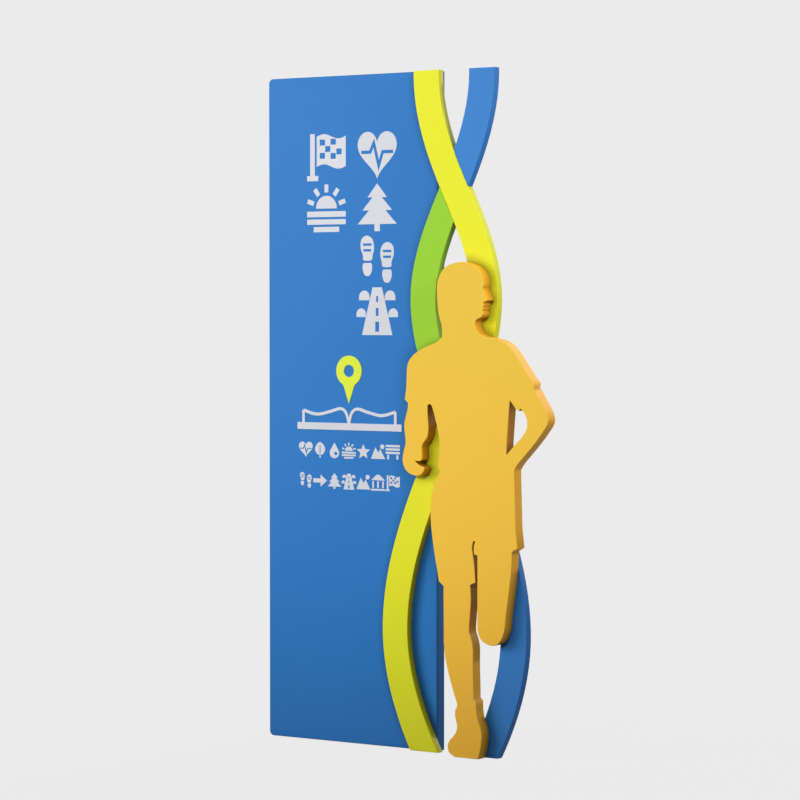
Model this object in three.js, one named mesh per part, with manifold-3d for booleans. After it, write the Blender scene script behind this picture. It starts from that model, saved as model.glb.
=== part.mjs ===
// Trailside interpretation sign: a tall sheet-steel panel box with a double helix of flat
// ribbon boxes on its right edge and a running figure in front of the ribbons.
// Millimetres. X runs along the panel to the right, -Y is the front, +Z is up. Pieces are drawn
// from the ground below the middle of the panel, and the whole is then moved so that the origin
// is on the ground in the middle of the sign's own footprint.

import * as THREE from 'three';
import { mergeVertices } from 'three/addons/utils/BufferGeometryUtils.js';
import Module from 'manifold-3d';

const wasm = await Module();
wasm.setup();

// Driving dimensions of the whole sign

const sign_height = 2400;
const panel_width = 730;
const corner_radius = 18; // rounded left corners of the panel
const curve_steps = 3; // straight steps between two points of a curve
const ring_steps = 30; // and round the map pin
const skin = 2.5; // sheet of every face, return and back
const fit = 0.25; // gap between faces that rest on each other
const bond = 0.5; // adhesive tape between the frame and the skins
const over = 1; // cutting solids run this far past what they cut

// Welded frame inside the panel

const tube = 40; // depth and width of the posts
const tube_wall = 3;
const rail_height = 30;
const outrigger_depth = 30; // shallower than the posts, so that the right edge strip runs past
const post_left_inset = 135; // edge of the panel to the middle of its nearer post
const post_right_inset = 215;
const rail_top_drop = 30; // top of the sign down to the middle of a rail
const rail_upper_drop = 550;
const rail_bottom_rise = 230;
const frame_headroom = 12; // post tops below the top return

// Feet behind the panel

const base_thickness = 10;
const gusset_thickness = 8;
const gusset_height = 110;
const gusset_reach = 95;
const kick_height = 200; // removable cover over the anchors
const anchor_radius = 6;
const anchor_clearance = 1;
const anchor_height = 46;
const anchor_rear = 85; // rear pair behind the post's rear face
const washer_radius = 12;
const washer_thickness = 2.5;
const nut_radius = 10.4;
const nut_height = 10;
const washer_gap = 6; // between the front washers and the post
const base_side_margin = 17; // base plate past the middles of its anchors
const base_rear_margin = 35;

// Double helix of ribbons. Its line swings about an upright axis. The lower crossing lies behind
// the figure's ribs. The runs of height above it are stretched alike to fit up to the sign's top,
// and those below it to fit down to the ground.

const helix_offset = 86; // from the panel's right edge to the axis
const ribbon_width = 105;
const ribbon_depth = 30;
const ribbon_step = 40; // height between two stations of the line
const crossing_drop = 547; // top of the figure's head down to the lower crossing
const run_top_crest = 15;
const run_upper_crossing = 395;
const run_middle_crest = 390;
const run_lower_crossing = 420;
const run_bottom_crest = 750;
const run_ground = 430;
const run_under_ground = 630; // bottom crest down to where the line would cross again
const crest_top_reach = 115;
const crest_middle_reach = 128;
const crest_bottom_reach = 246;
const crossing_angle = 26.1; // degrees from upright, where the ribbons cross
const ground_angle = 34.5;
const crossing_arm = 105; // half length of the plates behind a crossing
const crossing_arm_width = 58;

// Running figure

const runner_offset = 145; // from the panel's right edge to the figure's upright axis
const runner_height = 1727;
const runner_depth = 48;
const spine_offset = 10; // from that axis to the tube inside the standing leg
const spine_tube = 25;
const spine_wall = 2;
const chest_rise = 150; // lower crossing up to the upper outrigger
const hip_drop = 300; // lower crossing down to the lower outrigger
const outrigger_margin = 25; // outrigger beyond its outermost bolt

// Bolts from the outriggers into the figure, and studs from the ribbons into the panel

const bolt_radius = 5;
const bolt_head_radius = 9;
const bolt_head_height = 7;
const sleeve_radius = 10;
const shoulder_bolt_offset = 130; // from the figure's axis
const stud_radius = 4;
const stud_head_radius = 7.5;
const stud_head_height = 5;
const edge_distance = 16; // least distance of bolts and studs from the panel's right edge
const hole_clearance = 0.5; // radial, round every bolt and stud

// Pictograms on the panel

const badge_thickness = 2;
const badge_offset = -11; // from the middle of the panel
const pin_z = 1341;
const pin_radius = 55;
const pin_hole_radius = 23;
const pin_tip_drop = 117;
const book_bar_z = 1128;
const book_bar_height = 25;
const book_bar_half_width = 226;
const book_half_width = 205;
const book_rise = 52; // pages above the bar
const book_stroke = 11;

// Outline of the running figure, as points beside its axis and above the ground. It is drawn
// down the left side, along the sole and up the right side to a head in plain profile.

const round = (...points) => ({ points, curved: true });
const straight = (...points) => ({ points, curved: false });
const runner_start = [-76, 1468];
const runner_outline = [
  // left shoulder and sleeve
  round([-100, 1448], [-154, 1427], [-197, 1402], [-220, 1370], [-224, 1329], [-226, 1285], [-232, 1246]),
  straight([-218, 1233]),
  // left forearm and fist
  round([-220, 1212], [-228, 1184], [-234, 1156], [-230, 1114], [-229, 1090], [-236, 1066], [-241, 1036],
    [-235, 1009], [-216, 988], [-184, 978], [-162, 985], [-149, 1003]),
  round([-156, 1011], [-172, 1016], [-190, 1031]),
  round([-170, 1030], [-161, 1036], [-160, 1054], [-160, 1086], [-140, 1112], [-134, 1134], [-134, 1162],
    [-137, 1205], [-136, 1228]),
  // left side of the shirt
  round([-124, 1230], [-114, 1210], [-99, 1159], [-89, 1112], [-86, 1076], [-90, 1040], [-93, 1010]),
  straight([-83, 998]),
  // left leg of the shorts
  round([-105, 960], [-121, 895], [-123, 820], [-112, 735], [-97, 655], [-89, 612]),
  straight([-70, 596], [-69, 400]),
  // calf, ankle and shoe of the standing leg
  round([-63, 348], [-52, 301], [-39, 258], [-26, 220], [-14, 184], [-22, 162], [-21, 139], [-14, 106],
    [-24, 79], [-45, 57], [-53, 36], [-46, 14], [-22, 0]),
  straight([72, 0]),
  round([81, 30], [87, 75], [84, 104], [70, 142], [65, 170], [64, 200]),
  straight([54, 209]),
  round([53, 260], [51, 330], [51, 385], [44, 418], [35, 445], [38, 495], [42, 550], [40, 606]),
  // inner hem, and the fold between the legs of the shorts
  straight([61, 615]),
  round([57, 665], [51, 708], [47, 735], [53, 760]),
  straight([59, 757]),
  round([54, 738], [55, 713]),
  straight([69, 710], [69, 450]),
  // raised leg
  round([84, 417], [124, 399], [158, 411], [178, 452], [184, 500], [197, 590], [206, 665],
    [209, 728]),
  // right side of the shorts and shirt
  straight([231, 741], [223, 810], [217, 1008]),
  // right forearm, elbow and sleeve
  round([232, 1031], [265, 1066], [298, 1102], [327, 1137], [349, 1169], [352, 1193], [341, 1220],
    [318, 1256], [303, 1281]),
  straight([292, 1293], [297, 1307]),
  round([270, 1341], [244, 1376], [220, 1410], [203, 1429], [182, 1446], [148, 1459], [102, 1468],
    [72, 1483], [59, 1504], [59, 1520]),
  // jaw, chin, lips, nose and forehead of a plain face in even proportions
  round([68, 1529], [81, 1534], [90, 1545], [88, 1557], [92, 1564], [90, 1570], [94, 1577], [93, 1586],
    [107, 1593], [104, 1603], [95, 1620], [90, 1634], [93, 1646], [91, 1668], [80, 1692], [58, 1712]),
  // crown and nape
  round([28, 1724], [-4, 1727], [-44, 1719], [-76, 1698], [-93, 1667], [-98, 1635], [-95, 1573],
    [-88, 1537], [-79, 1508], [-76, 1483]),
];
const arm_gap_start = [200, 1250];
const arm_gap_outline = [
  straight([195, 1210], [187, 1110], [186, 1062]),
  round([213, 1090], [236, 1112], [256, 1134], [268, 1158], [268, 1182], [261, 1202], [250, 1215]),
  straight([244, 1223], [236, 1214], [222, 1222]),
];

// Sizes that follow

const panel_depth = tube + 2 * (skin + bond);
const panel_front = -panel_depth / 2;
const panel_back = panel_depth / 2;
const panel_right = panel_width / 2;
const panel_left = -panel_width / 2;
const tube_back = tube / 2;
const tube_front = -tube / 2;
const post_left_x = panel_left + post_left_inset;
const post_right_x = panel_right - post_right_inset;
const outrigger_back = tube_front + outrigger_depth;
const anchor_spread = tube / 2 + washer_gap + washer_radius;
const base_half_width = anchor_spread + base_side_margin;
const base_back = tube_back + anchor_rear + base_rear_margin;
const ribbon_back = panel_front - fit;
const ribbon_front = ribbon_back - ribbon_depth;
const runner_back = ribbon_front - fit;
const runner_front = runner_back - runner_depth;
const runner_x = panel_right + runner_offset;
const runner_drawn_height = Math.max(...runner_outline.flatMap(({ points }) => points.map(([, z]) => z)));
const runner_scale = runner_height / runner_drawn_height;
const spine_x = runner_x + spine_offset;
const crossing_lower_z = runner_height - crossing_drop;
const chest_z = crossing_lower_z + chest_rise;
const hip_z = crossing_lower_z - hip_drop;
const badge_back = panel_front - fit;
const badge_front = badge_back - badge_thickness;

// Colours and finishes

const paint = (colour, roughness = 0.42) =>
  new THREE.MeshStandardMaterial({ color: colour, roughness, metalness: 0 });
const zinc = () => new THREE.MeshStandardMaterial({ color: '#a9adb1', roughness: 0.45, metalness: 0.8 });
const panel_blue = '#3a7cc4';
const ribbon_blue = '#3f82cc';
const ribbon_yellow = '#e8ea3c';
const ribbon_green = '#97cc3e';
const runner_amber = '#eec044';
const graphic_white = '#eceae6';
const pin_yellow = '#dcec2c';
const frame_grey = '#8b9196';

// Solids: closed geometry in, joined and cut, closed geometry out

function solidOf(geometry) {
  const bare = geometry.clone();
  bare.deleteAttribute('normal');
  bare.deleteAttribute('uv');
  const merged = mergeVertices(bare, 1e-4);
  const vertProperties = new Float32Array(merged.attributes.position.array);
  const triVerts = new Uint32Array(merged.index.array);
  return new wasm.Manifold(new wasm.Mesh({ numProp: 3, vertProperties, triVerts }));
}

function geometryOf(solid) {
  const mesh = solid.getMesh();
  const geometry = new THREE.BufferGeometry();
  geometry.setAttribute('position', new THREE.BufferAttribute(new Float32Array(mesh.vertProperties), 3));
  geometry.setIndex(new THREE.BufferAttribute(new Uint32Array(mesh.triVerts), 1));
  geometry.computeVertexNormals();
  return geometry;
}

const join = (first, ...others) => others.reduce((whole, piece) => whole.add(piece), first);
const cut = (first, ...others) => others.reduce((whole, piece) => whole.subtract(piece), first);

// A box between two corners
function block(x0, x1, y0, y1, z0, z1) {
  const geometry = new THREE.BoxGeometry(x1 - x0, y1 - y0, z1 - z0);
  geometry.translate((x0 + x1) / 2, (y0 + y1) / 2, (z0 + z1) / 2);
  return solidOf(geometry);
}

// An upright outline drawn in X and Z, filled from the y at its back to the y at its front.
// grow moves the outline's edge outwards, or inwards where it is negative.
function sheetOf(shape, back, front, grow = 0) {
  const geometry = new THREE.ExtrudeGeometry(shape, {
    depth: back - front, curveSegments: curve_steps,
    bevelEnabled: true, bevelSegments: 0, bevelThickness: 0, bevelSize: 0, bevelOffset: grow,
  });
  geometry.rotateX(Math.PI / 2);
  geometry.translate(0, back, 0);
  return solidOf(geometry);
}

// A round or six-sided bar along Y or Z, with its middle line at the other two places
function barY(x, z, radius, back, front, sides = 10) {
  const geometry = new THREE.CylinderGeometry(radius, radius, back - front, sides);
  geometry.translate(x, (back + front) / 2, z);
  return solidOf(geometry);
}

function barZ(x, y, radius, low, high, sides = 10) {
  const geometry = new THREE.CylinderGeometry(radius, radius, high - low, sides);
  geometry.rotateX(Math.PI / 2);
  geometry.translate(x, y, (low + high) / 2);
  return solidOf(geometry);
}

// Outlines

function panelOutline(low, high, round_bottom) {
  const r = corner_radius;
  const shape = new THREE.Shape();
  shape.moveTo(panel_right, low);
  shape.lineTo(panel_right, high);
  shape.lineTo(panel_left + r, high);
  shape.absarc(panel_left + r, high - r, r, Math.PI / 2, Math.PI, false);
  if (round_bottom) {
    shape.lineTo(panel_left, low + r);
    shape.absarc(panel_left + r, low + r, r, Math.PI, Math.PI * 1.5, false);
  } else {
    shape.lineTo(panel_left, low);
  }
  shape.closePath();
  return shape;
}

// A line of points moved sideways, and a strip of even width about such a line
function movedLine(line, sideways) {
  return line.map((point, i) => {
    const before = line[Math.max(i - 1, 0)];
    const after = line[Math.min(i + 1, line.length - 1)];
    const along = after.clone().sub(before).normalize();
    return point.clone().add(new THREE.Vector2(-along.y, along.x).multiplyScalar(sideways));
  });
}

function stripOutline(line, width) {
  return new THREE.Shape([...movedLine(line, width / 2), ...movedLine(line, -width / 2).reverse()]);
}

// The helix line's distance from its axis at a height: smooth cubic runs from crest to crossing

const helix_x = panel_right + helix_offset;
const upper_stretch = (sign_height - crossing_lower_z) /
  (run_top_crest + run_upper_crossing + run_middle_crest + run_lower_crossing);
const lower_stretch = crossing_lower_z / (run_bottom_crest + run_ground);
const crest_top_z = sign_height - run_top_crest * upper_stretch;
const crossing_upper_z = crest_top_z - run_upper_crossing * upper_stretch;
const crest_middle_z = crossing_upper_z - run_middle_crest * upper_stretch;
const crest_bottom_z = crossing_lower_z - run_bottom_crest * lower_stretch;
const crossing_under_z = crest_bottom_z - run_under_ground * lower_stretch;
const crossing_lean = Math.tan(THREE.MathUtils.degToRad(crossing_angle));
const ground_lean = Math.tan(THREE.MathUtils.degToRad(ground_angle));
const helix_knots = [
  { z: 2 * crest_top_z - crossing_upper_z, x: 0, lean: -crossing_lean },
  { z: crest_top_z, x: crest_top_reach, lean: 0 },
  { z: crossing_upper_z, x: 0, lean: crossing_lean },
  { z: crest_middle_z, x: -crest_middle_reach, lean: 0 },
  { z: crossing_lower_z, x: 0, lean: -crossing_lean },
  { z: crest_bottom_z, x: crest_bottom_reach, lean: 0 },
  { z: crossing_under_z, x: 0, lean: ground_lean },
];

function swing(z) {
  let next = 1;
  while (next < helix_knots.length - 1 && helix_knots[next].z > z) next += 1;
  const a = helix_knots[next - 1];
  const b = helix_knots[next];
  const run = a.z - b.z;
  const t = (a.z - z) / run;
  const from_a = (1 + 2 * t) * (1 - t) ** 2 * a.x - t * (1 - t) ** 2 * run * a.lean;
  const from_b = t * t * (3 - 2 * t) * b.x + t * t * (1 - t) * run * b.lean;
  return from_a + from_b;
}

// side is -1 for the yellow ribbon, +1 for the blue and green one
const ribbonX = (side, z) => helix_x + side * swing(z);

// A ribbon's line from past the top to past the ground; the ribbons are then trimmed level
function ribbonLine(side) {
  const past = ribbon_width;
  const count = Math.ceil((sign_height + 2 * past) / ribbon_step);
  return Array.from({ length: count + 1 }, (_, i) => {
    const z = sign_height + past - (i * (sign_height + 2 * past)) / count;
    return new THREE.Vector2(ribbonX(side, z), z);
  });
}

// All that lies on the yellow ribbon and past it, seen from the left (-1) or from the right (+1)
function beyondYellow(from_side, clearance) {
  const edge = movedLine(ribbonLine(-1), from_side * (ribbon_width / 2 + clearance));
  const far_x = helix_x - from_side * sign_height;
  const far = [edge[edge.length - 1], edge[0]].map((end) => new THREE.Vector2(far_x, end.y));
  return new THREE.Shape([...edge, ...far]);
}

// The running figure's outline and the gap inside its right arm, at the figure's real size
function runnerShape() {
  const place = ([x, z]) => new THREE.Vector2(runner_x + x * runner_scale, z * runner_scale);
  const draw = (path, start, stretches) => {
    const first = place(start);
    path.moveTo(first.x, first.y);
    for (const { points, curved } of stretches) {
      if (curved) path.splineThru(points.map(place));
      else points.map(place).forEach((p) => path.lineTo(p.x, p.y));
    }
    path.closePath();
    return path;
  };
  const shape = draw(new THREE.Shape(), runner_start, runner_outline);
  shape.holes.push(draw(new THREE.Path(), arm_gap_start, arm_gap_outline));
  return shape;
}

// Where bolts and studs go. A stud's height is a share of the way between two places of the
// helix line, and it sits on the ribbon's line or, where that leaves the panel, near its edge.

const shoulder_x = runner_x + shoulder_bolt_offset;
const chest_bolts = [
  { name: 'bolt_chest_green', x: Math.max(ribbonX(1, chest_z), panel_right + edge_distance), z: chest_z },
  { name: 'bolt_chest_spine', x: spine_x, z: chest_z, through_spine: true },
  { name: 'bolt_chest_shoulder', x: shoulder_x, z: chest_z, sleeve: 'sleeve_chest' },
];
const hip_bolts = [
  { name: 'bolt_hip_spine', x: spine_x, z: hip_z, through_spine: true, sleeve: 'sleeve_hip' },
  { name: 'bolt_hip_blue', x: ribbonX(1, hip_z), z: hip_z },
];
const bolts = [...chest_bolts, ...hip_bolts];
const studs = [
  { name: 'stud_yellow_top', side: -1, from: crest_top_z, to: crossing_upper_z, share: 0.14 },
  { name: 'stud_yellow_middle', side: -1, from: crossing_lower_z, to: crest_bottom_z, share: 0.31 },
  { name: 'stud_yellow_crest', side: -1, from: crossing_lower_z, to: crest_bottom_z, share: 1 },
  { name: 'stud_yellow_foot', side: -1, from: crest_bottom_z, to: 0, share: 0.72 },
  { name: 'stud_green_upper', side: 1, from: crossing_upper_z, to: crest_middle_z, share: 0.62 },
  { name: 'stud_green_lower', side: 1, from: crest_middle_z, to: crossing_lower_z, share: 0.29 },
].map(({ name, side, from, to, share }) => {
  const z = from + share * (to - from);
  return { name, z, x: Math.min(ribbonX(side, z), panel_right - edge_distance) };
});

const bolt_holes = bolts.map(({ x, z }) =>
  barY(x, z, bolt_radius + hole_clearance, tube_back + over, runner_front + skin + over));
const sleeve_holes = bolts.filter((bolt) => bolt.sleeve).map(({ x, z }) =>
  barY(x, z, sleeve_radius + hole_clearance, tube_front + over, ribbon_front - over));
const stud_holes = studs.map(({ x, z }) =>
  barY(x, z, stud_radius + hole_clearance, panel_front + skin + over, ribbon_back - skin - over));
const nut_pockets = studs.map(({ x, z }) => {
  const seat = panel_front + skin;
  return barY(x, z, stud_head_radius + hole_clearance, seat + stud_head_height + 2 * over, seat);
});

const sign = new THREE.Group();

function place(name, solid, material) {
  const mesh = new THREE.Mesh(geometryOf(solid), material);
  mesh.name = name;
  sign.add(mesh);
}

// Panel box: front skin, welded edge strips, back skin, and the cover over the anchors

function panelBox() {
  const outline = panelOutline(0, sign_height, true);
  const face = sheetOf(outline, panel_front + skin, panel_front);
  place('panel_face', cut(face, ...stud_holes), paint(panel_blue));

  const strip_front = panel_front + skin + fit;
  const strip_back = panel_back - skin - fit;
  const ring = cut(
    sheetOf(outline, strip_back, strip_front),
    sheetOf(outline, strip_back + over, strip_front - over, -skin),
  );
  const corner = panel_left + corner_radius;
  const inner_right = panel_right - skin;
  const column = (from, to) => block(from, to, -tube, tube, -over, sign_height + over);
  const left = column(panel_left - over, corner);
  const right = column(inner_right, panel_right + over);
  const top = block(corner + fit, inner_right - fit, -tube, tube, sign_height - skin, sign_height + over);
  const rise = rail_height / 2 + fit;
  const outrigger_slots = [chest_z, hip_z].map((z) =>
    block(inner_right - over, panel_right + over, -tube, outrigger_back + fit, z - rise, z + rise));
  const right_strip = cut(ring.intersect(right), ...outrigger_slots);
  place('panel_edge_left', ring.intersect(left), paint(panel_blue));
  place('panel_edge_right', right_strip, paint(panel_blue));
  place('panel_edge_top', ring.intersect(top), paint(panel_blue));

  const back = sheetOf(panelOutline(kick_height + fit, sign_height, false), panel_back, panel_back - skin);
  place('panel_back', back, paint(panel_blue));

  const slot_front = panel_back - skin - over;
  const foot_slot = (x, half, high) =>
    block(x - half - fit, x + half + fit, slot_front, panel_back + over, -over, high);
  const foot_slots = [post_left_x, post_right_x].flatMap((x) => [
    foot_slot(x, base_half_width, base_thickness + fit),
    foot_slot(x, gusset_thickness / 2, base_thickness + gusset_height + 2 * fit),
  ]);
  const kick_outline = new THREE.Shape();
  const r = corner_radius;
  kick_outline.moveTo(panel_right, 0);
  kick_outline.lineTo(panel_right, kick_height - fit);
  kick_outline.lineTo(panel_left, kick_height - fit);
  kick_outline.lineTo(panel_left, r);
  kick_outline.absarc(panel_left + r, r, r, Math.PI, Math.PI * 1.5, false);
  const kick = sheetOf(kick_outline, panel_back, panel_back - skin);
  place('kick_cover', cut(kick, ...foot_slots), paint(panel_blue));
}

// Welded frame: two posts, five rails between them, two short rails to the left edge and two
// outriggers that pass out through the right edge strip

function hollowPost(x, low, high) {
  const half = tube / 2;
  const bore = half - tube_wall;
  return cut(
    block(x - half, x + half, -half, half, low, high),
    block(x - bore, x + bore, -bore, bore, low - over, high + over),
  );
}

function hollowRail(from, to, z, depth = tube) {
  const back = tube_front + depth;
  const rise = rail_height / 2;
  const bore_rise = rise - tube_wall;
  return cut(
    block(from, to, tube_front, back, z - rise, z + rise),
    block(from - over, to + over, tube_front + tube_wall, back - tube_wall, z - bore_rise, z + bore_rise),
  );
}

function frame() {
  const half = tube / 2;
  const post_low = base_thickness + fit;
  const post_high = sign_height - skin - frame_headroom;
  for (const [name, x] of [['post_left', post_left_x], ['post_right', post_right_x]]) {
    place(name, cut(hollowPost(x, post_low, post_high), ...stud_holes, ...nut_pockets), paint(frame_grey));
  }
  const rails = {
    rail_top: sign_height - rail_top_drop,
    rail_upper: sign_height - rail_upper_drop,
    rail_chest: chest_z,
    rail_hip: hip_z,
    rail_bottom: rail_bottom_rise,
  };
  for (const [name, z] of Object.entries(rails)) {
    const rail = hollowRail(post_left_x + half + fit, post_right_x - half - fit, z);
    place(name, rail, paint(frame_grey));
  }
  for (const [name, z] of [['rail_left_chest', chest_z], ['rail_left_hip', hip_z]]) {
    const rail = hollowRail(panel_left + skin + fit, post_left_x - half - fit, z);
    place(name, rail, paint(frame_grey));
  }
  const arms = { outrigger_chest: chest_bolts, outrigger_hip: hip_bolts };
  for (const [name, own_bolts] of Object.entries(arms)) {
    const tip = Math.max(...own_bolts.map((bolt) => bolt.x)) + outrigger_margin;
    const arm = hollowRail(post_right_x + half + fit, tip, own_bolts[0].z, outrigger_depth);
    place(name, cut(arm, ...bolt_holes, ...stud_holes, ...nut_pockets), paint(frame_grey));
  }
}

// Feet: a base plate and a gusset behind each post, and four anchors in each plate

function gussetAt(x) {
  const low = base_thickness + fit;
  const high = base_thickness + gusset_height;
  const front = tube_back + fit;
  const outline = new THREE.Shape();
  outline.moveTo(front, low);
  outline.lineTo(tube_back + gusset_reach, low);
  outline.lineTo(tube_back + gusset_reach, low + gusset_thickness);
  outline.lineTo(front + gusset_thickness, high);
  outline.lineTo(front, high);
  outline.closePath();
  const geometry = new THREE.ExtrudeGeometry(outline, { depth: gusset_thickness, bevelEnabled: false });
  geometry.rotateX(Math.PI / 2);
  geometry.rotateZ(Math.PI / 2);
  geometry.translate(x - gusset_thickness / 2, 0, 0);
  return solidOf(geometry);
}

function anchorAt(x, y) {
  const washer_low = base_thickness + fit;
  const washer_high = washer_low + washer_thickness;
  return join(
    barZ(x, y, anchor_radius, 0, anchor_height),
    barZ(x, y, washer_radius, washer_low, washer_high, 14),
    barZ(x, y, nut_radius, washer_high, washer_high + nut_height, 6),
  );
}

function feet() {
  const rows = { front: 0, rear: tube_back + anchor_rear };
  for (const [side, x] of [['left', post_left_x], ['right', post_right_x]]) {
    const spots = Object.entries(rows).flatMap(([row, y]) => [
      { x: x - anchor_spread, y, tag: `${row}_a` },
      { x: x + anchor_spread, y, tag: `${row}_b` },
    ]);
    const holes = spots.map((spot) =>
      barZ(spot.x, spot.y, anchor_radius + anchor_clearance, -over, base_thickness + over));
    const plate = block(x - base_half_width, x + base_half_width, tube_front, base_back, 0, base_thickness);
    place(`base_plate_${side}`, cut(plate, ...holes), zinc());
    place(`gusset_${side}`, gussetAt(x), zinc());
    for (const spot of spots) place(`anchor_${side}_${spot.tag}`, anchorAt(spot.x, spot.y), zinc());
  }
}

// Ribbons: each a face with its returns as one tray, and a back plate set inside the returns.
// The yellow one runs unbroken; the other butts against it and changes colour at each crossing.

function ribbon(name, side, low, high, colour) {
  const closed_low = low === 0;
  const closed_high = high === sign_height;
  const lies_on = Math.sign(side * swing((low + high) / 2));
  const back = ribbon_back + 2 * over;
  const front = ribbon_front - 2 * over;
  const trim = (solid, inset) => {
    const from = low + (closed_low ? inset : 0);
    const to = high - (closed_high ? inset : 0);
    const level = solid.intersect(block(helix_x - sign_height, helix_x + sign_height, front, back, from, to));
    return side < 0 ? level : cut(level, sheetOf(beyondYellow(lies_on, fit + inset), back, front));
  };
  const strip = (inset, from, to) =>
    trim(sheetOf(stripOutline(ribbonLine(side), ribbon_width - 2 * inset), from, to), inset);
  const outer = strip(0, ribbon_back, ribbon_front);
  const hollow = strip(skin, ribbon_back + over, ribbon_front + skin);
  const plate = strip(skin + fit, ribbon_back, ribbon_back - skin);
  const tray = cut(outer, hollow, ...bolt_holes, ...sleeve_holes);
  place(`${name}_face`, tray, paint(colour));
  place(`${name}_back`, cut(plate, ...bolt_holes, ...sleeve_holes, ...stud_holes), paint(colour));
}

function ribbons() {
  ribbon('ribbon_yellow', -1, 0, sign_height, ribbon_yellow);
  ribbon('ribbon_blue_upper', 1, crossing_upper_z, sign_height, ribbon_blue);
  ribbon('ribbon_green', 1, crossing_lower_z, crossing_upper_z, ribbon_green);
  ribbon('ribbon_blue_lower', 1, 0, crossing_lower_z, ribbon_blue);
}

// Crossed plates behind the two crossings, each bar following one ribbon, clear of the panel

function crossingPlates() {
  const plate_back = tube_front - fit;
  const plate_front = ribbon_back + fit;
  const panel_space = block(panel_left, panel_right + fit, -tube, tube, 0, sign_height);
  const crossings = { crossing_plate_upper: crossing_upper_z, crossing_plate_lower: crossing_lower_z };
  for (const [name, z] of Object.entries(crossings)) {
    const bars = [-1, 1].map((way) => {
      const bar = new THREE.BoxGeometry(crossing_arm_width, plate_back - plate_front, 2 * crossing_arm);
      bar.rotateY(way * Math.atan(crossing_lean));
      bar.translate(helix_x, (plate_back + plate_front) / 2, z);
      return solidOf(bar);
    });
    place(name, cut(join(...bars), panel_space, ...bolt_holes, ...sleeve_holes), zinc());
  }
}

// Running figure: a tray with its returns, a back plate inside them, and a tube up the leg

function runner() {
  const outline = runnerShape();
  const hollow = sheetOf(outline, runner_back + over, runner_front + skin, -skin);
  const tray = cut(sheetOf(outline, runner_back, runner_front), hollow);
  place('runner_face', tray, paint(runner_amber));

  const plate = sheetOf(outline, runner_back, runner_back - skin, -skin - fit);
  place('runner_back', cut(plate, ...bolt_holes), paint(runner_amber));

  const half = spine_tube / 2;
  const bore = half - spine_wall;
  const y = runner_back - skin - fit - half;
  const low = skin + fit;
  const high = chest_z + rail_height;
  const spine = cut(
    block(spine_x - half, spine_x + half, y - half, y + half, low, high),
    block(spine_x - bore, spine_x + bore, y - bore, y + bore, low - over, high + over),
  );
  place('runner_spine', cut(spine, ...bolt_holes), paint(frame_grey));
}

// Through bolts with a hexagon head behind the outrigger and a nut inside the figure, spacer
// sleeves where no ribbon lies between, and clinch studs that hold the ribbons to the panel

function fasteners() {
  const head_seat = outrigger_back + fit;
  const plate_seat = runner_back - skin - fit;
  const spine_seat = plate_seat - spine_tube - fit;
  for (const bolt of bolts) {
    const nut_seat = bolt.through_spine ? spine_seat : plate_seat;
    const nut_end = nut_seat - bolt_head_height;
    const solid = join(
      barY(bolt.x, bolt.z, bolt_radius, head_seat + over, nut_end),
      barY(bolt.x, bolt.z, bolt_head_radius, head_seat + bolt_head_height, head_seat, 6),
      barY(bolt.x, bolt.z, bolt_head_radius, nut_seat, nut_end + over, 6),
    );
    place(bolt.name, solid, zinc());
    if (bolt.sleeve) {
      const sleeve = cut(
        barY(bolt.x, bolt.z, sleeve_radius, tube_front - fit, runner_back + fit, 16),
        barY(bolt.x, bolt.z, bolt_radius + hole_clearance, tube_front + over, runner_back - over, 12),
      );
      place(bolt.sleeve, sleeve, zinc());
    }
  }
  for (const { name, x, z } of studs) {
    const head = ribbon_back - skin - fit;
    const nut = panel_front + skin + fit;
    const nut_end = nut + stud_head_height;
    const solid = join(
      barY(x, z, stud_radius, nut_end, head - over),
      barY(x, z, stud_head_radius, head, head - stud_head_height / 2),
      barY(x, z, stud_head_radius, nut_end - over, nut, 6),
    );
    place(name, solid, zinc());
  }
}

// Cut-sheet pictograms bonded to the panel face: a map pin over an open book

function pinBadge() {
  const ring = (radius, from, to) =>
    new THREE.EllipseCurve(badge_offset, pin_z, radius, radius, from, to).getPoints(ring_steps);
  const opening = Math.PI * 0.18; // half angle where the pin's point leaves the ring
  const neck = pin_hole_radius * 0.62;
  const waist = neck / 1.5;
  const chin_z = pin_z - pin_radius;
  const end_x = badge_offset + pin_radius * Math.sin(opening);
  const end_z = pin_z - pin_radius * Math.cos(opening);
  const pin = new THREE.Shape(ring(pin_radius, -Math.PI / 2 + opening, Math.PI * 1.5 - opening));
  pin.quadraticCurveTo(badge_offset - neck, chin_z, badge_offset - waist, chin_z - neck);
  pin.lineTo(badge_offset, pin_z - pin_tip_drop);
  pin.lineTo(badge_offset + waist, chin_z - neck);
  pin.quadraticCurveTo(badge_offset + neck, chin_z, end_x, end_z);
  pin.holes.push(new THREE.Path(ring(pin_hole_radius, 0, Math.PI * 2).slice(1)));
  return sheetOf(pin, badge_back, badge_front);
}

// The open book's pages rise in a wave from the middle of its bar to an upright at each end
function bookBadge() {
  const bar_top = book_bar_z + book_bar_height;
  const root = bar_top - book_stroke / 6;
  const half = book_stroke / 2;
  const edge = book_half_width - half;
  const wave = [[0, -0.04], [0.06, 0.7], [0.185, 1], [0.426, 0.77], [0.712, 0.58], [1, 0.85]];
  const end_rise = 0.85 * book_rise;
  const bar = block(badge_offset - book_bar_half_width, badge_offset + book_bar_half_width,
    badge_front, badge_back, book_bar_z, bar_top);
  const pages = [-1, 1].map((way) => {
    const line = new THREE.SplineCurve(wave.map(([along, up]) =>
      new THREE.Vector2(badge_offset + way * along * edge, bar_top + up * book_rise)));
    const x = badge_offset + way * edge;
    const upright = block(x - half, x + half, badge_front, badge_back, root, bar_top + end_rise);
    return join(sheetOf(stripOutline(line.getPoints(24), book_stroke), badge_back, badge_front), upright);
  });
  return join(bar, ...pages);
}

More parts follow.
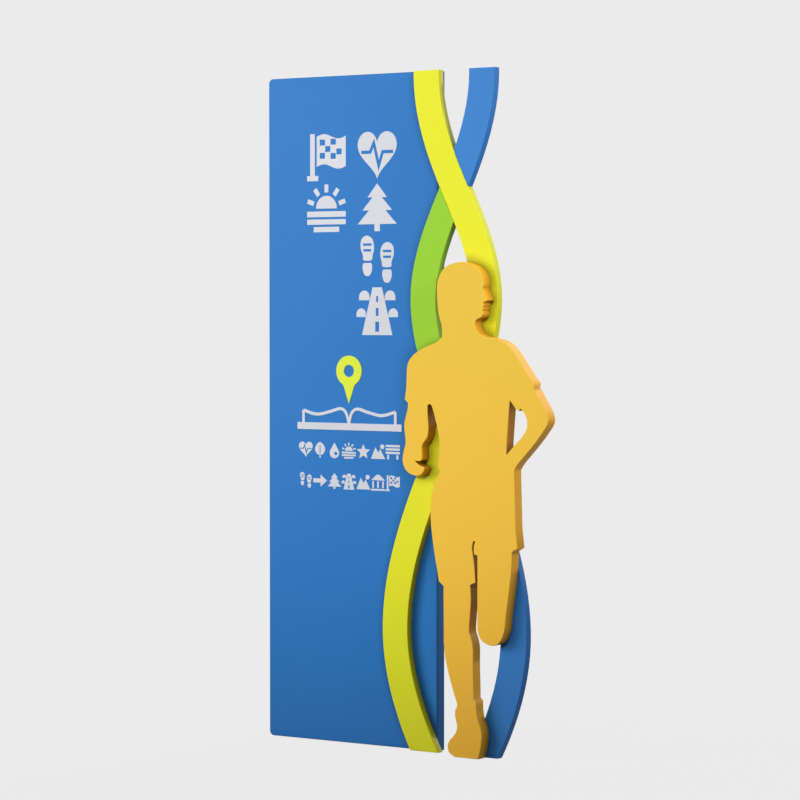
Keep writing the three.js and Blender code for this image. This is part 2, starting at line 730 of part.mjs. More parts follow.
panelBox();
frame();
feet();
ribbons();
crossingPlates();
runner();
fasteners();
place('pin_badge', pinBadge(), paint(pin_yellow));
place('book_badge', bookBadge(), paint(graphic_white));

const reach = new THREE.Box3().setFromObject(sign);
sign.position.set(-(reach.min.x + reach.max.x) / 2, -(reach.min.y + reach.max.y) / 2, 0);

export default sign;
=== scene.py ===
"""A trailside interpretation sign in sheet steel: a tall blue panel box, a double helix of flat
ribbon boxes along its right edge, and the figure of a runner standing in front of the ribbons.
Everything is in metres; X runs along the panel, -Y is the front and Z is up."""

import math

import bmesh
import bpy
from mathutils import Matrix, Vector
from mathutils.bvhtree import BVHTree


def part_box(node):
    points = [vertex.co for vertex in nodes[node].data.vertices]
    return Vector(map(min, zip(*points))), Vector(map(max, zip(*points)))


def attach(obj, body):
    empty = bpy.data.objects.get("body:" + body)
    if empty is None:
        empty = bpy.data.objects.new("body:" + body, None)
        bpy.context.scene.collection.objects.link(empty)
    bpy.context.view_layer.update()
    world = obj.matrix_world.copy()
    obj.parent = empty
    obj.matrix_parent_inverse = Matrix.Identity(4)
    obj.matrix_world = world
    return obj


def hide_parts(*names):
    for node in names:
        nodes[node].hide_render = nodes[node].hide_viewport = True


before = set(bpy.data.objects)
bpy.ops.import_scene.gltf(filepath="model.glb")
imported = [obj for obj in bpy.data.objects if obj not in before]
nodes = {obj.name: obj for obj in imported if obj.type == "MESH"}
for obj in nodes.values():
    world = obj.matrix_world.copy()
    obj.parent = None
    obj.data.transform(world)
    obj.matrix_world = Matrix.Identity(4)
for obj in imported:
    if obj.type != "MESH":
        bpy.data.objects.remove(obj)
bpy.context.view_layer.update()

# Where the sign is seen from: eye height, ten and a half metres off and about 34 degrees to the
# right of straight on, through a long lens. The place is measured from the middle of the panel.

panel_low, panel_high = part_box("panel_face")
panel_front = panel_low.y
panel_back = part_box("panel_back")[1].y
panel_middle = Vector(((panel_low.x + panel_high.x) / 2, (panel_front + panel_back) / 2, 0))

eye = panel_middle + Vector((5.9546, -8.7712, 1.5736))
look_down = math.radians(1.823)
look_left = math.radians(33.304)
bpy.ops.object.camera_add(location=eye, rotation=(math.pi / 2 - look_down, 0, look_left))
camera = bpy.context.object
camera.data.lens = 132.69
camera.data.sensor_width = 36
bpy.context.scene.camera = camera
bpy.context.scene.view_settings.view_transform = "Standard"

# Plain studio: a pale floor that takes the sign's shadow and runs into a backdrop of one pale
# grey. Both show that grey to the camera and in reflections, and light the sign only softly.


def srgb(red, green, blue):
    """A colour in everyday steps from 0 to 255 as the linear colour that shaders take."""
    steps = [step / 255 for step in (red, green, blue)]
    return tuple(s / 12.92 if s <= 0.04045 else ((s + 0.055) / 1.055) ** 2.4 for s in steps)


class Wire:
    """One output of a material's nodes. Arithmetic on it adds the Math nodes for it."""

    def __init__(self, tree, socket=None):
        self.tree = tree
        self.socket = socket

    def node(self, kind, settings=None, inputs=None, output=0):
        """A new node: its settings first, then the values or wires of its sockets."""
        made = self.tree.nodes.new(kind)
        for name, value in (settings or {}).items():
            setattr(made, name, value)
        for name, value in (inputs or {}).items():
            if isinstance(value, Wire):
                self.tree.links.new(value.socket, made.inputs[name])
            else:
                made.inputs[name].default_value = value
        return Wire(self.tree, made.outputs[output])

    def maths(self, operation, first, second, clamp=False):
        """A Math node. A number or a wire serves for either of its inputs."""
        return self.node("ShaderNodeMath", {"operation": operation, "use_clamp": clamp},
                         {0: first, 1: second})

    def part(self, axis):
        """The X, Y or Z of a place."""
        return self.node("ShaderNodeSeparateXYZ", None, {"Vector": self}, output=axis)

    def __add__(self, other):
        return self.maths("ADD", self, other)

    def __radd__(self, other):
        return self.maths("ADD", other, self)

    def __sub__(self, other):
        return self.maths("SUBTRACT", self, other)

    def __rsub__(self, other):
        return self.maths("SUBTRACT", other, self)

    def __mul__(self, other):
        return self.maths("MULTIPLY", self, other)

    def __rmul__(self, other):
        return self.maths("MULTIPLY", other, self)

    def ramp(self, start, end):
        """0 below start and 1 above end, with a straight run between them."""
        return self.maths("MULTIPLY", self - start, 1 / (end - start), clamp=True)

    def between(self, at_none, at_full):
        """This mask's colour: at_none where it is 0 and at_full where it is 1."""
        first, second = (c if isinstance(c, Wire) else (*c, 1) for c in (at_none, at_full))
        return self.node("ShaderNodeMix", {"data_type": "RGBA"}, {0: self, 6: first, 7: second}, output=2)


backdrop_grey = srgb(235, 235, 235)
dome_light = 0.29


def shown_plainly(start):
    """1 for what the camera, a reflection or a clear material sees, and 0 for light itself."""
    seen = start.node("ShaderNodeLightPath", output="Is Camera Ray")
    rays = seen.socket.node.outputs
    reflected = Wire(start.tree, rays["Is Glossy Ray"])
    let_through = Wire(start.tree, rays["Is Transmission Ray"])
    return seen.maths("ADD", seen + reflected, let_through, clamp=True)


world = bpy.data.worlds.new("studio_air")
world.use_nodes = True
bpy.context.scene.world = world
air = Wire(world.node_tree)
air_colour = shown_plainly(air).between(3 * (dome_light,), backdrop_grey)
world.node_tree.links.new(air_colour.socket, world.node_tree.nodes["Background"].inputs["Color"])

bpy.ops.object.select_all(action="DESELECT")
bpy.ops.mesh.primitive_circle_add(vertices=96, radius=30, fill_type="TRIFAN", location=(0, 0, 0))
floor = bpy.context.object
floor.name = "studio_floor"
floor_paint = bpy.data.materials.new("studio_floor")
floor_paint.use_nodes = True
start = Wire(floor_paint.node_tree)
place = start.node("ShaderNodeTexCoord", output="Object")
distance = start.node("ShaderNodeVectorMath", {"operation": "LENGTH"}, {0: place}, output="Value")
near = 1 - distance.ramp(0.5, 4)
shown = shown_plainly(start)
shadow_share = 0.07
ground_tone = shown.between(srgb(112, 112, 112), srgb(190, 190, 190))
ground = start.node("ShaderNodeBsdfDiffuse", inputs={"Color": ground_tone})
near_grey = srgb(239, 239, 239)
grey = start.node("ShaderNodeEmission", inputs={"Color": near.between(backdrop_grey, near_grey)})
plain = shown * (1 - shadow_share * near)
mixed = start.node("ShaderNodeMixShader", inputs={0: plain, 1: ground, 2: grey})
start.tree.links.new(mixed.socket, start.tree.nodes["Material Output"].inputs["Surface"])
floor.data.materials.append(floor_paint)

# Studio lamps: a big soft box at the front left and one behind, a key lamp in front, and a side
# lamp on the right for the outer returns. Key and side lamp fade out towards the ground.


def lamp(kind, name, place, aim, watts, **settings):
    """A lamp. Its place and what it points at are measured from the middle of the panel."""
    bpy.ops.object.light_add(type=kind, location=panel_middle + Vector(place))
    made = bpy.context.object
    made.name = name
    made.data.energy = watts
    for setting, value in settings.items():
        setattr(made.data, setting, value)
    towards = panel_middle + Vector(aim) - made.location
    made.rotation_euler = towards.to_track_quat("-Z", "Y").to_euler()


lamp("AREA", "soft_box", place=(-6.6, -6.6, 3.4), aim=(0.25, 0, 1.5), watts=440,
     shape="SQUARE", size=5)
lamp("SPOT", "key_lamp", place=(1.7, -9.3, 4.0), aim=(0.25, 0, 2.27), watts=1800,
     spot_size=math.radians(28.5), spot_blend=0.62, shadow_soft_size=0.5)
lamp("SPOT", "side_lamp", place=(5.8, -0.5, 4.6), aim=(0.4, 0, 1.8), watts=1080,
     spot_size=math.radians(26), spot_blend=0.8, shadow_soft_size=0.9)
lamp("AREA", "back_box", place=(0.5, 8.5, 3.4), aim=(0.25, 0, 1.3), watts=470,
     shape="SQUARE", size=5)

# Inner frame: posts and rails of square and flat steel tube, welded and brushed with grey
# zinc-rich primer. The panel's skins are bonded to it. It keeps the frame's own solids.


def new_material(name):
    """A new material, the wire of places on its piece, and its main shader."""
    made = bpy.data.materials.new(name)
    made.use_nodes = True
    place = Wire(made.node_tree).node("ShaderNodeTexCoord", output="Object")
    return made, place, made.node_tree.nodes["Principled BSDF"]


def feed(shader, **sockets):
    """Sets the shader's sockets, or links them where a wire is given. _ stands for a space."""
    for name, value in sockets.items():
        socket = shader.inputs[name.replace("_", " ")]
        if isinstance(value, Wire):
            value.tree.links.new(value.socket, socket)
        else:
            socket.default_value = (*value, 1) if isinstance(value, tuple) else value


def noise(place, scale, detail=2, roughness=0.5):
    """Cloudy noise from 0 to 1, with about scale clouds to the metre."""
    return place.node("ShaderNodeTexNoise", None,
                      {"Vector": place, "Scale": scale, "Detail": detail, "Roughness": roughness})


def bumped(height, depth, strength=1.0):
    """Normals of a surface whose height wire, from 0 to 1, spans depth metres."""
    return height.node("ShaderNodeBump", None,
                       {"Strength": strength, "Distance": depth, "Height": height})


def brushed_primer():
    made, place, shader = new_material("brushed_primer")
    strokes = place.node("ShaderNodeMapping", None, {"Vector": place, "Scale": (1, 1, 0.08)})
    streak = noise(strokes, 240, detail=3)
    cloud = noise(place, 9, detail=4)
    tone = (0.6 * cloud + 0.4 * streak).ramp(0.3, 0.7)
    feed(shader, Base_Color=tone.between(srgb(128, 133, 137), srgb(150, 155, 158)),
         Roughness=0.62 + 0.12 * cloud, Metallic=0.1, Normal=bumped(streak, 0.0003))
    return made


def dress(material, *names):
    """Gives frame nodes that show as they are their finish."""
    for name in names:
        for slot in nodes[name].material_slots:
            slot.material = material


primer = brushed_primer()
dress(primer, "post_left", "post_right", "rail_top", "rail_upper", "rail_chest", "rail_hip",
      "rail_bottom", "rail_left_chest", "rail_left_hip", "runner_spine")

# Feet: two base plates with a gusset each, cut from plate, welded, then hot-dip galvanised.
# The zinc shows its crystals, and each weld is a row of overlapping puddles.


def galvanised_zinc():
    made, place, shader = new_material("galvanised_zinc")
    crystals = place.node("ShaderNodeTexVoronoi", None, {"Vector": place, "Scale": 75}, output="Color")
    shade = place.node("ShaderNodeSeparateColor", None, {"Color": crystals}, output="Red")
    grain = noise(place, 900)
    tone = 0.75 * shade + 0.25 * grain
    feed(shader, Base_Color=tone.between(srgb(144, 148, 152), srgb(180, 184, 188)), Metallic=0.7,
         Roughness=0.5 + 0.2 * shade, Normal=bumped(grain, 0.00008))
    return made


def alone(piece):
    """Makes the piece the only selected one and the active one."""
    bpy.ops.object.select_all(action="DESELECT")
    piece.select_set(True)
    bpy.context.view_layer.objects.active = piece


def select(kind, test):
    """In edit mode, selects the active piece's faces or edges that pass the test."""
    bpy.ops.mesh.select_mode(type=kind)
    bpy.ops.mesh.select_all(action="DESELECT")
    mesh = bpy.context.object.data
    shape = bmesh.from_edit_mesh(mesh)
    for part in {"FACE": shape.faces, "EDGE": shape.edges}[kind]:
        if test(part):
            part.select_set(True)
    shape.select_flush_mode()
    bmesh.update_edit_mesh(mesh)


def round_edges(radius, test, segments=3):
    """Rounds the sharp edges of the active piece whose middle passes the test."""
    bpy.ops.object.mode_set(mode="EDIT")
    select("EDGE", lambda e: len(e.link_faces) == 2 and e.calc_face_angle() > math.radians(40)
           and test((e.verts[0].co + e.verts[1].co) / 2, e))
    bpy.ops.mesh.bevel(offset=radius, segments=segments, affect="EDGES", clamp_overlap=False)
    bpy.ops.object.mode_set(mode="OBJECT")


def copy_of(node, name):
    """A merged copy of a frame node's mesh as a new piece, with whole faces for its triangles."""
    piece = bpy.data.objects.new(name, nodes[node].data.copy())
    bpy.context.scene.collection.objects.link(piece)
    alone(piece)
    bpy.ops.object.mode_set(mode="EDIT")
    bpy.ops.mesh.select_all(action="SELECT")
    bpy.ops.mesh.remove_doubles(threshold=0.00001)
    bpy.ops.mesh.dissolve_limited(angle_limit=math.radians(0.05))
    bpy.ops.object.mode_set(mode="OBJECT")
    return piece


def apply_modifier(piece, kind, **settings):
    """Gives the piece a modifier with these settings and makes its result the piece's mesh."""
    alone(piece)
    bpy.ops.object.modifier_add(type=kind)
    modifier = piece.modifiers[-1]
    for name, value in settings.items():
        setattr(modifier, name, value)
    bpy.ops.object.modifier_apply(modifier=modifier.name)


def finish(piece, name, material, stands_for=(), crease=35):
    """Shades a piece smooth up to its creases, gives it its finish and fixes it to the sign."""
    piece.name = name
    piece.data.materials.clear()
    piece.data.materials.append(material)
    alone(piece)
    bpy.ops.object.transform_apply(location=True, rotation=True, scale=True)
    bpy.ops.object.shade_smooth_by_angle(angle=math.radians(crease))
    apply_modifier(piece, "WEIGHTED_NORMAL", keep_sharp=True, weight=80)
    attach(piece, "root")
    if stands_for:
        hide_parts(*stands_for)


def copied(piece, name, shift):
    """A copy of a piece with its own mesh, moved by the shift."""
    made = piece.copy()
    made.data = piece.data.copy()
    made.name = name
    bpy.context.scene.collection.objects.link(made)
    made.location = piece.location + Vector(shift)
    return made


def joined(pieces, name):
    """Several pieces as one."""
    bpy.ops.object.select_all(action="DESELECT")
    for piece in pieces:
        piece.select_set(True)
    bpy.context.view_layer.objects.active = pieces[0]
    bpy.ops.object.join()
    pieces[0].name = name
    return pieces[0]


zinc = galvanised_zinc()
margin = 0.001
plate_edge = 0.0015
gusset_edge = 0.001
weld_inset = 0.006
puddle_radius = 0.0042
puddle_pitch = 0.0042
puddle_squash = 0.8
for side in ("left", "right"):
    plate_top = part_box(f"base_plate_{side}")[1].z
    plate = copy_of(f"base_plate_{side}", f"foot_plate_{side}")
    round_edges(plate_edge, lambda middle, e: middle.z > plate_top - margin)
    finish(plate, f"foot_plate_{side}", zinc, [f"base_plate_{side}"])

    gusset_low, gusset_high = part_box(f"gusset_{side}")
    gusset = copy_of(f"gusset_{side}", f"foot_gusset_{side}")
    round_edges(gusset_edge, lambda middle, e: middle.z > gusset_low.z + 2 * margin)
    finish(gusset, f"foot_gusset_{side}", zinc, [f"gusset_{side}"])

    weld_start = gusset_low.y + weld_inset
    puddles = int((gusset_high.y - weld_start) / puddle_pitch)
    beads = []
    for x in (gusset_low.x, gusset_high.x):
        bpy.ops.object.select_all(action="DESELECT")
        bpy.ops.mesh.primitive_uv_sphere_add(segments=12, ring_count=8, radius=puddle_radius,
                                             location=(x, weld_start, plate_top),
                                             scale=(1, puddle_squash, 1))
        bead = bpy.context.object
        apply_modifier(bead, "ARRAY", count=puddles, use_relative_offset=False,
                       use_constant_offset=True,
                       constant_offset_displace=(0, puddle_pitch / puddle_squash, 0))
        beads.append(bead)
    finish(joined(beads, "weld"), f"foot_weld_{side}", zinc)

# Anchors: threaded studs set in the footing, each with a flat washer and a hexagon nut with
# chamfered corners, zinc plated. One is made and copied to the eight places.

stud_low, stud_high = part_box("anchor_left_rear_a")
stud_x = (stud_low.x + stud_high.x) / 2
stud_y = (stud_low.y + stud_high.y) / 2
stud_radius = 0.006
thread_pitch = 0.00175
seat_gap = 0.00025
washer_radius = 0.012
washer_edge = 0.0004
washer_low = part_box("base_plate_left")[1].z + seat_gap
washer_thickness = 0.0025
nut_radius = 0.0104
nut_height = 0.010
nut_chamfer = 0.0009
nut_corner = 0.0004
hairline = 0.0001
nut_low = washer_low + washer_thickness
nut_high = nut_low + nut_height


def cylinder(radius, low, high, sides, x, y):
    """An upright cylinder between two heights."""
    bpy.ops.object.select_all(action="DESELECT")
    bpy.ops.mesh.primitive_cylinder_add(vertices=sides, radius=radius, depth=high - low,
                                        location=(x, y, (low + high) / 2))
    bpy.ops.object.transform_apply(location=True, rotation=True, scale=True)
    return bpy.context.object


def threaded_rod(radius, low, high, x, y):
    """A rod whose thread is a stack of ridges, closed flat at both ends."""
    root = radius - 0.6 * thread_pitch
    turns = int((high - low) / thread_pitch)
    merge_reach = 0.00002
    bpy.ops.object.select_all(action="DESELECT")
    halves = []
    for radii, height in (((root, radius), 0.25), ((radius, root), 0.75)):
        bpy.ops.mesh.primitive_cone_add(vertices=20, radius1=radii[0], radius2=radii[1],
                                        depth=thread_pitch / 2, end_fill_type="NOTHING",
                                        location=(x, y, low + height * thread_pitch))
        halves.append(bpy.context.object)
    ridge = joined(halves, "thread")
    bpy.ops.object.transform_apply(location=True, rotation=True, scale=True)
    apply_modifier(ridge, "ARRAY", count=turns, use_relative_offset=False, use_constant_offset=True,
                   constant_offset_displace=(0, 0, thread_pitch), use_merge_vertices=True,
                   merge_threshold=merge_reach)
    bpy.ops.object.mode_set(mode="EDIT")
    bpy.ops.mesh.select_all(action="SELECT")
    bpy.ops.mesh.remove_doubles(threshold=merge_reach)
    bpy.ops.mesh.select_all(action="DESELECT")
    bpy.ops.mesh.select_mode(type="EDGE")
    bpy.ops.mesh.select_non_manifold()
    bpy.ops.mesh.edge_face_add()
    bpy.ops.mesh.select_all(action="SELECT")
    bpy.ops.mesh.normals_make_consistent(inside=False)
    bpy.ops.object.mode_set(mode="OBJECT")
    return ridge


washer = cylinder(washer_radius, washer_low, nut_low, 32, stud_x, stud_y)
round_edges(washer_edge, lambda middle, e: True, segments=2)
nut = cylinder(nut_radius, nut_low, nut_high, 6, stud_x, stud_y)
nut_middle = (nut_low + nut_high) / 2
round_edges(nut_chamfer, lambda middle, e: middle.z > nut_high - hairline, segments=2)
round_edges(nut_corner, lambda middle, e: abs(middle.z - nut_middle) < margin, segments=2)
shank = cylinder(stud_radius, stud_low.z, nut_low, 20, stud_x, stud_y)
rod = threaded_rod(stud_radius, nut_high - thread_pitch, stud_high.z, stud_x, stud_y)
anchor = joined([washer, nut, shank, rod], "anchor")
for side in ("left", "right"):
    for tag in ("front_a", "front_b", "rear_a", "rear_b"):
        node = f"anchor_{side}_{tag}"
        low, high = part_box(node)
        shift = ((low.x + high.x) / 2 - stud_x, (low.y + high.y) / 2 - stud_y, 0)
        finish(copied(anchor, f"foot_{node}", shift), f"foot_{node}", zinc, [node])
bpy.data.objects.remove(anchor)

# Panel box: the front and its left, right and top returns are one folded and welded shell of
# 2.5 mm steel, bent a little wider than it is thick, with round left corners and blue enamel.

dust_top = 0.35


def baked_enamel(name, colour, deep_and_return_shade, foot=None):
    """Enamel with a fine orange peel and a little dust low down. The deep tone lies in faint
    clouds and, as painted shade, on the returns, and the foot tone takes over towards the
    ground. Painted shade darkens the coat where the piece notes high occlusion."""
    made, place, shader = new_material(name)
    outwards = place.node("ShaderNodeTexCoord", output="Normal").part("Y")
    peel = noise(place, 420, detail=1)
    cloud = noise(place, 2.2, detail=3)
    speck = noise(place, 38, detail=5, roughness=0.65)
    height = place.part("Z")
    face = height.ramp(0.25, 1.5).between(foot or colour, colour)
    # Painted shade: faces that turn away from the front and back take the deep tone, as shade on the
    # returns.
    return_shade = 1 - (outwards * outwards).ramp(0.1, 0.5)
    cloud_and_return_shade = place.maths("MAXIMUM", return_shade, 0.1 * cloud.ramp(0.3, 0.7))
    dust = (1 - height.ramp(0.0, dust_top)) * speck.ramp(0.42, 0.75)
    # Painted shade: where the noted occlusion is high (in corners, recesses and beside the parts in front)
    # the coat darkens towards a quarter of the deep tone.
    occlusion_noted = place.node("ShaderNodeAttribute", {"attribute_name": "occlusion"}, output="Fac")
    painted_shade = place.maths("POWER", occlusion_noted.ramp(0, 1), 1.5) * (0.65 + 0.15 * cloud)
    dust_tone = srgb(142, 136, 124)
    painted_shade_tone = tuple(0.25 * channel for channel in deep_and_return_shade)
    coat_and_return_shade = (0.05 * dust).between(cloud_and_return_shade.between(face, deep_and_return_shade), dust_tone)
    feed(shader, Base_Color=painted_shade.between(coat_and_return_shade, painted_shade_tone),
         Roughness=0.44 + 0.06 * (speck - 0.5) + 0.15 * dust, Specular_IOR_Level=0.12,
         Normal=bumped(peel, 0.00012, strength=0.35))
    return made


# The second colour is the deep tone: faint clouds, and painted shade on the returns.
panel_enamel = baked_enamel("panel_enamel", srgb(44, 121, 195), srgb(32, 102, 174))
sheet = 0.0025
corner_radius = 0.018
bend_radius = sheet + 0.0004
return_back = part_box("panel_edge_left")[1].y


def box_between(low, high):
    """A box between its lowest and its highest corner."""
    bpy.ops.object.select_all(action="DESELECT")
    bpy.ops.mesh.primitive_cube_add(size=1, location=(low + high) / 2, scale=high - low)
    bpy.ops.object.transform_apply(location=True, rotation=True, scale=True)
    return bpy.context.object


def along(e, axis):
    """True for an edge that runs along X (0), Y (1) or Z (2)."""
    run = e.verts[1].co - e.verts[0].co
    return abs(run[axis]) > 0.99 * run.length


shell = box_between(panel_low, Vector((panel_high.x, return_back, panel_high.z)))
shell_left = panel_low.x + margin
round_edges(corner_radius, lambda middle, e: along(e, 1) and middle.x < shell_left, segments=10)
round_edges(bend_radius, lambda middle, e: middle.y < panel_front + hairline)
bpy.ops.object.mode_set(mode="EDIT")
select("FACE", lambda f: f.normal.y > 0.9 or f.normal.z < -0.999)
bpy.ops.mesh.delete(type="FACE")
bpy.ops.object.mode_set(mode="OBJECT")
apply_modifier(shell, "SOLIDIFY", thickness=sheet, offset=-1, use_even_offset=True)


def cut_with(piece, cutter):
    """Cuts the cutter's shape out of the piece and removes the cutter."""
    apply_modifier(piece, "BOOLEAN", operation="DIFFERENCE", solver="EXACT", object=cutter)
    bpy.data.objects.remove(cutter)


def sliced_front(piece, low, high, pitch):
    """Cuts the piece's flat front into small squares between two corners, so that painted shade
    can vary over it."""
    alone(piece)
    bpy.ops.object.mode_set(mode="EDIT")
    for axis in (0, 2):
        for step in range(int((high[axis] - low[axis]) / pitch) + 1):
            line = Vector(low)
            line[axis] += step * pitch
            across = Vector((0, 0, 0))
            across[axis] = 1
            select("FACE", lambda f: f.normal.y < -0.99)
            bpy.ops.mesh.bisect(plane_co=line, plane_no=across)
    bpy.ops.object.mode_set(mode="OBJECT")


def side_trees(names):
    """The returns of some trays and their fronts, each as one tree to look things up in."""
    corners, returns, fronts = [], [], []
    for name in names:
        mesh = nodes[name].data
        for polygon in mesh.polygons:
            ring = [len(corners) + i for i in polygon.vertices]
            if polygon.normal.y < -0.9:
                fronts.append(ring)
            elif abs(polygon.normal.y) < 0.5:
                returns.append(ring)
        corners += [v.co for v in mesh.vertices]
    return BVHTree.FromPolygons(corners, returns), BVHTree.FromPolygons(corners, fronts)


def note_occlusion(piece, in_front, beside, behind, reach):
    """Notes at each corner of the piece's faces how occluded it is, from 0 in the open to 1, for
    the painted shade of its enamel. On the front that comes from the trays in front of it, and
    on the returns from those beside it and from the faces that it stands on, just behind it."""
    front_returns, front_faces = side_trees(in_front)
    side_returns = side_trees(beside)[0]
    rear_faces = side_trees(behind)[1]
    forwards = Vector((0, -1, 0))
    fan = [Matrix.Rotation(math.radians(angle), 3, "Y") for angle in (-60, -30, 0, 30, 60)]
    side_reach = 2 * reach
    side_share = 1.6
    stand_off = 0.0004
    draw_in = 0.02
    foot_reach = 0.004
    mesh = piece.data
    occlusion_noted = mesh.attributes.get("occlusion") or mesh.attributes.new("occlusion", "FLOAT", "CORNER")
    for polygon in mesh.polygons:
        outwards = polygon.normal
        for corner in polygon.loop_indices:
            spot = mesh.vertices[mesh.loops[corner].vertex_index].co
            occlusion = 0
            if in_front and outwards.y < -0.5:
                distance = front_returns.find_nearest(spot)[3]
                hidden = front_faces.ray_cast(spot, forwards)[0]
                occlusion = 1 - (-distance if hidden else distance) / reach
            elif abs(outwards.y) < 0.5:
                open_air = spot + draw_in * (polygon.center - spot) + stand_off * outwards
                hits = [side_returns.ray_cast(open_air, turn @ outwards, side_reach)[3] for turn in fan]
                occlusion = side_share * sum(1 - hit / side_reach for hit in hits if hit) / len(fan)
                foot = spot + foot_reach * outwards
                if rear_faces.ray_cast(foot, -forwards, foot_reach)[0]:
                    occlusion = max(occlusion, 1)
            occlusion_noted.data[corner].value = max(occlusion_noted.data[corner].value, occlusion)


slot_gap = 0.00025
slot_reach = 0.01
slot_inset = 0.004
for name in ("outrigger_chest", "outrigger_hip"):
    arm_low, arm_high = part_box(name)
    gap = Vector((0, slot_gap, slot_gap))
    slot_low = Vector((panel_high.x - slot_reach, panel_front + slot_inset, arm_low.z)) - gap
    slot_high = Vector((panel_high.x + slot_reach, arm_high.y, arm_high.z)) + gap
    cut_with(shell, box_between(slot_low, slot_high))
# Painted shade: the panel's front beside the ribbons and the figure is cut finer and darkened by its noted
# occlusion.
painted_shade_pitch = 0.016
painted_shade_reach = 0.05
ribbon_trays = [f"ribbon_{name}_face" for name in ("yellow", "blue_upper", "green", "blue_lower")]
ribbons_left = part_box("ribbon_yellow_face")[0].x - 2 * painted_shade_reach
sliced_front(shell, (ribbons_left, panel_front, painted_shade_pitch), panel_high, painted_shade_pitch)
note_occlusion(shell, ribbon_trays, [], [], painted_shade_reach)
deep_painted_shade_reach = 2.4 * painted_shade_reach
note_occlusion(shell, ["runner_face"], [], [], deep_painted_shade_reach)
finish(shell, "panel_shell", panel_enamel,
       ["panel_face", "panel_edge_left", "panel_edge_right", "panel_edge_top"])

# Back of the panel: a flat skin over the whole height and a low cover over the anchors, in the
# same enamel, both held by round-headed security screws of stainless steel.

back_low, back_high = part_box("panel_back")
skin_edge = 0.0008
for node, name in (("panel_back", "back_skin"), ("kick_cover", "foot_cover")):
    skin = copy_of(node, name)
    round_edges(skin_edge, lambda middle, e: middle.y > back_high.y - hairline)
    finish(skin, name, panel_enamel, [node])


def stainless_steel():
    made, place, shader = new_material("stainless_steel")
    grain = noise(place, 1400)
    cloud = noise(place, 60, detail=3)
    feed(shader, Base_Color=cloud.between(srgb(176, 176, 174), srgb(200, 200, 197)), Metallic=1.0,
         Roughness=0.26 + 0.12 * cloud, Normal=bumped(grain, 0.00002))
    return made


def lying_cylinder(radius, front, rear, sides, x, z):
    """A cylinder along Y between two places on that axis."""
    bpy.ops.object.select_all(action="DESELECT")
    bpy.ops.mesh.primitive_cylinder_add(vertices=sides, radius=radius, depth=rear - front,
                                        location=(x, (front + rear) / 2, z),
                                        rotation=(-math.pi / 2, 0, 0))
    bpy.ops.object.transform_apply(location=True, rotation=True, scale=True)
    return bpy.context.object


def screw_head(radius, height):
    """A round head that faces +Y at the origin, with a pin inside its socket."""
    lying_cylinder(radius, 0, height, 24, 0, 0)
    round_edges(0.45 * height, lambda middle, e: middle.y > 0.9 * height, segments=4)
    bpy.ops.object.mode_set(mode="EDIT")
    select("FACE", lambda f: f.normal.y > 0.999)
    bpy.ops.mesh.inset(thickness=0.28 * radius)
    bpy.ops.mesh.extrude_region_move(TRANSFORM_OT_translate={"value": (0, -0.5 * height, 0)})
    bpy.ops.mesh.inset(thickness=0.14 * radius)
    bpy.ops.mesh.extrude_region_move(TRANSFORM_OT_translate={"value": (0, 0.4 * height, 0)})
    bpy.ops.object.mode_set(mode="OBJECT")
    return bpy.context.object


stainless = stainless_steel()
screw_inset = 0.016
lowest_screw = screw_inset + 0.01
screw = screw_head(radius=0.0055, height=0.0026)
rows = 8
back_rise = (back_high.z - back_low.z - 2 * screw_inset) / (rows - 1)
side_x = (back_low.x + screw_inset, back_high.x - screw_inset)
spots = [(x, back_low.z + screw_inset + row * back_rise) for x in side_x for row in range(rows)]
middle_x = (back_low.x + back_high.x) / 2
spots += [(middle_x, back_low.z + screw_inset), (middle_x, back_high.z - screw_inset)]
cover_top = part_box("kick_cover")[1].z
spots += [(x, z) for x in side_x for z in (lowest_screw, cover_top - screw_inset)]
spots += [(middle_x, cover_top - screw_inset)]
screws = [copied(screw, "screw", (x, back_high.y, z)) for x, z in spots]
bpy.data.objects.remove(screw)
finish(joined(screws, "back_screws"), "back_screws", stainless, crease=40)

# Outriggers: two flat tubes that leave through slots in the panel's right edge and carry the
# ribbons and the figure. Their corners are drawn round and their ends closed by black plugs.


def moulded_plastic(name, colour):
    made, place, shader = new_material(name)
    grain = noise(place, 700, detail=3)
    cloud = noise(place, 25, detail=2)
    feed(shader, Base_Color=cloud.between(colour, tuple(1.25 * c for c in colour)),
         Roughness=0.45 + 0.15 * grain, Normal=bumped(grain, 0.00005))
    return made


black_plastic = moulded_plastic("black_plastic", srgb(30, 31, 33))
plug_thickness = 0.003
plug_edge = 0.0012
tube_corner = 0.003
for name in ("outrigger_chest", "outrigger_hip"):
    arm_low, arm_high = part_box(name)
    arm = box_between(arm_low, Vector((arm_high.x - plug_thickness, arm_high.y, arm_high.z)))
    round_edges(tube_corner, lambda middle, e: along(e, 0), segments=4)
    finish(arm, f"{name}_tube", primer, [name])
    plug = box_between(Vector((arm_high.x - plug_thickness, arm_low.y, arm_low.z)), arm_high)
    round_edges(tube_corner, lambda middle, e: along(e, 0), segments=4)
    round_edges(plug_edge, lambda middle, e: middle.x > arm_high.x - hairline)
    finish(plug, f"{name}_plug", black_plastic)

# Crossed plates behind the two crossings of the ribbons, cut from galvanised sheet and
# riveted to the ribbons' back plates at their four arms.

cross_edge = 0.0006
for level in ("upper", "lower"):
    cross = copy_of(f"crossing_plate_{level}", f"cross_{level}")
    cross_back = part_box(f"crossing_plate_{level}")[1].y
    round_edges(cross_edge, lambda middle, e: middle.y > cross_back - hairline, segments=2)
    finish(cross, f"cross_{level}", zinc, [f"crossing_plate_{level}"])
